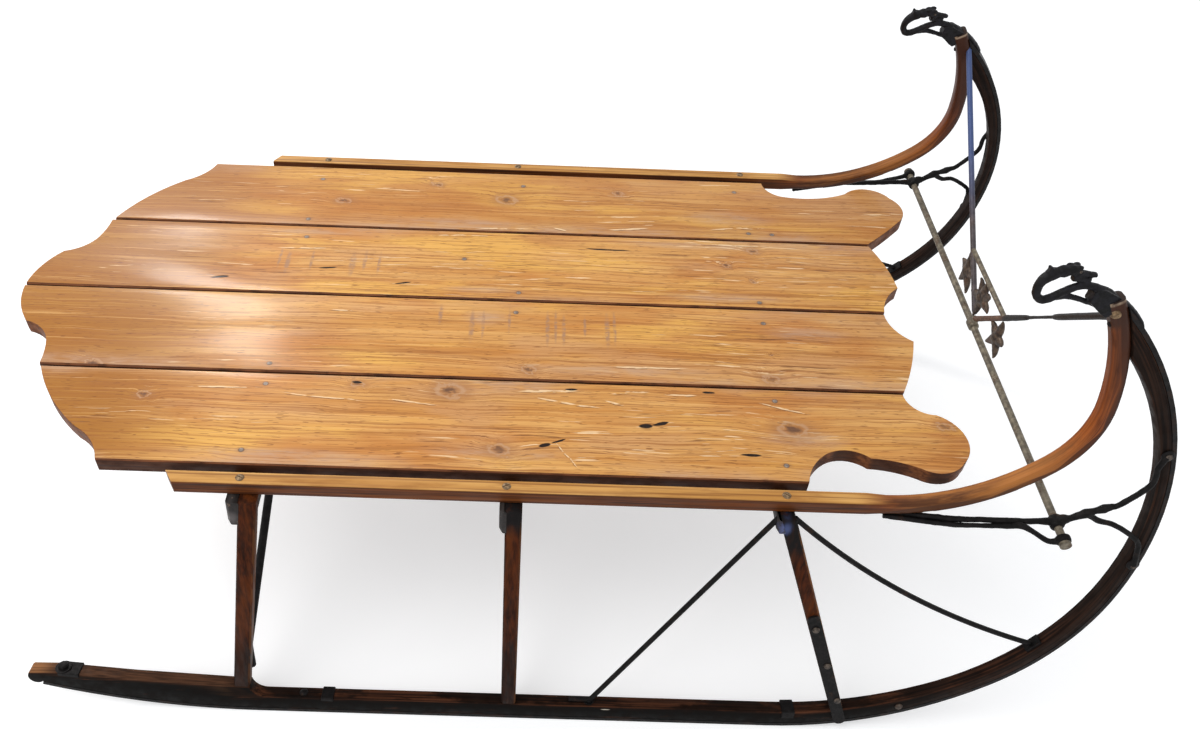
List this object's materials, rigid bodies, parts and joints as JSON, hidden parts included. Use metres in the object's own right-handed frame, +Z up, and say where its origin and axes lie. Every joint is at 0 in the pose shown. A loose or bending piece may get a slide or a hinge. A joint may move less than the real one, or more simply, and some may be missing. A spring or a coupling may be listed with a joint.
{
  "type": "horse drawn sleigh",
  "caption": "Flat plank sleigh on two curved wooden runners with steel shoes, bent side rails, forged draft ironwork and curled beast-head finials.",
  "frame": {"origin": "on the ground under the middle of the whole sleigh", "axes": "+X forward, towards the curled fronts of the runners; +Y to the sleigh's left; +Z up"},
  "size_m": [1.709, 1.0172, 0.8215],
  "materials": {
    "deck_pine": "aged honey pine under satin varnish, with darker end grain",
    "rail_wood": "varnished golden wood, redder on the sides",
    "post_wood": "dark red-brown stained wood",
    "runner_wood": "near-black paint, worn to brown on the edges",
    "beam_paint": "black painted hardwood with a dull sheen",
    "shoe_steel": "worn steel with brown rust at the edges",
    "worn_iron": "grey forged iron, with rust and a bluish sheen",
    "black_iron": "black painted forged and cast iron"
  },
  "bodies": {
    "root": {"beam_front": "beam_paint", "beam_middle": "beam_paint", "beam_rear": "beam_paint", "brace_middle_left": "black_iron", "brace_middle_right": "black_iron", "brace_rear_left": "black_iron", "brace_rear_right": "black_iron", "cross_rod": "worn_iron", "deck_board_left_inner": "deck_pine", "deck_board_left_outer": "deck_pine", "deck_board_right_inner": "deck_pine", "deck_board_right_outer": "deck_pine", "draft_iron_left": "black_iron", "draft_iron_right": "black_iron", "draft_loop_left": "black_iron", "draft_loop_right": "black_iron", "finial_left": "black_iron", "finial_right": "black_iron", "front_stay_left": "black_iron", "front_stay_right": "black_iron", "front_strap_left": "black_iron", "front_strap_right": "black_iron", "leaf_left": "black_iron", "leaf_middle": "black_iron", "leaf_right": "black_iron", "post_front_left": "post_wood", "post_front_right": "post_wood", "post_middle_left": "post_wood", "post_middle_right": "post_wood", "post_rear_left": "post_wood", "post_rear_right": "post_wood", "rail_left": "rail_wood", "rail_right": "rail_wood", "rear_stay_left": "black_iron", "rear_stay_right": "black_iron", "runner_left": "runner_wood", "runner_right": "runner_wood", "shoe_left": "shoe_steel", "shoe_right": "shoe_steel", "v_bar_left": "worn_iron", "v_bar_right": "worn_iron", "v_knuckle": "worn_iron", "v_tie": "worn_iron"}
  },
  "joints": []
}
